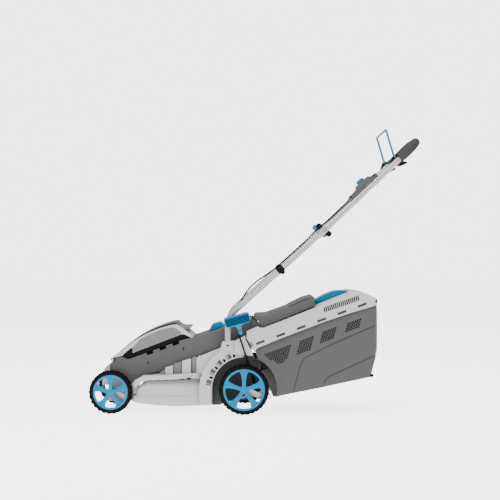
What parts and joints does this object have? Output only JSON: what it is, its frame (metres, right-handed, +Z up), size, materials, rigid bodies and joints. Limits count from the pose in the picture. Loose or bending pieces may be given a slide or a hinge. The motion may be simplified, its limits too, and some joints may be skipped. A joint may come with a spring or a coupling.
{
  "type": "lawn mower",
  "caption": "Cordless rotary lawn mower with folding handle, rear grass collector, battery lid and height lever.",
  "frame": {"origin": "on the ground, in the middle of the bounding box in plan", "axes": "+X to the rear, where the handle is, -Y to the operator's left, +Z up"},
  "size_m": [1.1779, 0.43, 1.0069],
  "materials": {
    "light_grey": "satin",
    "mid_grey": "satin",
    "blue": "gloss",
    "black": "matte",
    "smoked": "gloss",
    "rubber": "matte",
    "foam": "matte",
    "painted": "satin",
    "steel": "satin",
    "aluminium": "satin",
    "cable": "matte"
  },
  "bodies": {
    "deck": {"deck_shell": "light_grey", "side_rail_left": "light_grey", "side_rail_right": "light_grey", "wheel_arch_left": "light_grey", "wheel_arch_right": "light_grey", "top_cover": "mid_grey", "battery_tray": "black", "carry_handle": "blue", "motor": "black", "speed_controller": "black", "lower_handle_left": "painted", "lower_handle_right": "painted", "foot_screw_left": "steel", "foot_screw_right": "steel", "lid_hinge_pin": "steel", "flap_hinge_pin": "steel", "control_cable_lower": "cable", "cable_clip": "black"},
    "blade_rotor": {"motor_shaft": "steel", "blade_fan": "aluminium", "blade": "steel", "blade_bolt": "steel"},
    "battery_lid": {"battery_lid": "light_grey", "lid_window": "smoked"},
    "battery_1": {"battery_1": "black"},
    "battery_2": {"battery_2": "black"},
    "safety_key": {"safety_key": "blue"},
    "rear_crank": {"rear_axle": "steel", "height_lever_rod": "black", "height_lever_grip": "blue"},
    "front_crank": {"front_axle": "steel"},
    "link_rod": {"link_rod": "steel"},
    "wheel_rear_left": {"tyre_rear_left": "rubber", "rim_rear_left": "blue", "wheel_cap_rear_left": "blue"},
    "wheel_rear_right": {"tyre_rear_right": "rubber", "rim_rear_right": "blue", "wheel_cap_rear_right": "blue"},
    "wheel_front_left": {"tyre_front_left": "rubber", "rim_front_left": "blue", "wheel_cap_front_left": "blue"},
    "wheel_front_right": {"tyre_front_right": "rubber", "rim_front_right": "blue", "wheel_cap_front_right": "blue"},
    "upper_handle": {"upper_handle": "painted", "foam_grip": "foam", "switch_box": "mid_grey", "handle_bolt_left": "steel", "handle_bolt_right": "steel", "bail_clevis_left": "black", "bail_clevis_right": "black", "control_cable_upper": "cable"},
    "wing_knob_left": {"wing_knob_left": "black"},
    "wing_knob_right": {"wing_knob_right": "blue"},
    "start_button": {"start_button": "blue"},
    "bail": {"bail": "blue"},
    "rear_flap": {"rear_flap": "mid_grey"},
    "collector": {"collector_tub": "mid_grey", "collector_lid": "light_grey", "collector_handle": "blue"}
  },
  "joints": [
    {"name": "blade_spin", "type": "hinge", "parent": "deck", "child": "blade_rotor", "pos_m": [-0.295, 0, 0.05], "axis": [0, 0, 1], "continuous": true},
    {"name": "battery_lid_hinge", "type": "hinge", "parent": "deck", "child": "battery_lid", "pos_m": [-0.511, 0, 0.1885], "axis": [0, -1, 0], "range_deg": [0, 70]},
    {"name": "battery_1_slide", "type": "slide", "parent": "deck", "child": "battery_1", "axis": [0.9409, 0, 0.3387], "range_m": [0, 0.025]},
    {"name": "battery_2_slide", "type": "slide", "parent": "deck", "child": "battery_2", "axis": [0.9409, 0, 0.3387], "range_m": [0, 0.025]},
    {"name": "safety_key_slide", "type": "slide", "parent": "deck", "child": "safety_key", "axis": [-0.3387, 0, 0.9409], "range_m": [0, 0.015]},
    {"name": "height_lever", "type": "hinge", "parent": "deck", "child": "rear_crank", "pos_m": [0.0129, 0, 0.06307], "axis": [0, -1, 0], "range_deg": [0, 50]},
    {"name": "front_crank_turn", "type": "hinge", "parent": "deck", "child": "front_crank", "pos_m": [-0.459, 0, 0.05143], "axis": [0, -1, 0], "range_deg": [0, 50]},
    {"name": "link_rod_turn", "type": "hinge", "parent": "rear_crank", "child": "link_rod", "pos_m": [0.05178, 0, 0.14645], "axis": [0, -1, 0], "range_deg": [-50, 0]},
    {"name": "wheel_rear_left_spin", "type": "hinge", "parent": "rear_crank", "child": "wheel_rear_left", "pos_m": [-0.0406, 0, 0.08807], "axis": [0, 1, 0], "continuous": true},
    {"name": "wheel_rear_right_spin", "type": "hinge", "parent": "rear_crank", "child": "wheel_rear_right", "pos_m": [-0.0406, 0, 0.08807], "axis": [0, 1, 0], "continuous": true},
    {"name": "wheel_front_left_spin", "type": "hinge", "parent": "front_crank", "child": "wheel_front_left", "pos_m": [-0.5125, 0, 0.07643], "axis": [0, 1, 0], "continuous": true},
    {"name": "wheel_front_right_spin", "type": "hinge", "parent": "front_crank", "child": "wheel_front_right", "pos_m": [-0.5125, 0, 0.07643], "axis": [0, 1, 0], "continuous": true},
    {"name": "handle_fold", "type": "hinge", "parent": "deck", "child": "upper_handle", "pos_m": [0.242, 0, 0.65], "axis": [0, -1, 0], "range_deg": [0, 150]},
    {"name": "wing_knob_left_turn", "type": "hinge", "parent": "upper_handle", "child": "wing_knob_left", "pos_m": [0.242, -0.155, 0.65], "axis": [0, 1, 0], "continuous": true},
    {"name": "wing_knob_right_turn", "type": "hinge", "parent": "upper_handle", "child": "wing_knob_right", "pos_m": [0.242, 0.155, 0.65], "axis": [0, 1, 0], "continuous": true},
    {"name": "start_button_press", "type": "slide", "parent": "upper_handle", "child": "start_button", "axis": [0.6872, 0, -0.7265], "range_m": [0, 0.004], "stiffness_N_per_m": 1500, "springref_m": -0.002},
    {"name": "bail_swing", "type": "hinge", "parent": "upper_handle", "child": "bail", "pos_m": [0.48757, 0, 0.90845], "axis": [0, 1, 0], "range_deg": [0, 58], "stiffness_Nm_per_rad": 0.6, "springref_deg": -45.84},
    {"name": "rear_flap_hinge", "type": "hinge", "parent": "deck", "child": "rear_flap", "pos_m": [0.001, 0, 0.338], "axis": [0, -1, 0], "range_deg": [0, 55]},
    {"name": "collector_lift", "type": "slide", "parent": "deck", "child": "collector", "axis": [0.9397, 0, 0.342], "range_m": [0, 0.12]}
  ],
  "couplings": [
    {"joint": "front_crank_turn", "follows": "height_lever", "ratio": 1},
    {"joint": "link_rod_turn", "follows": "height_lever", "ratio": -1}
  ]
}
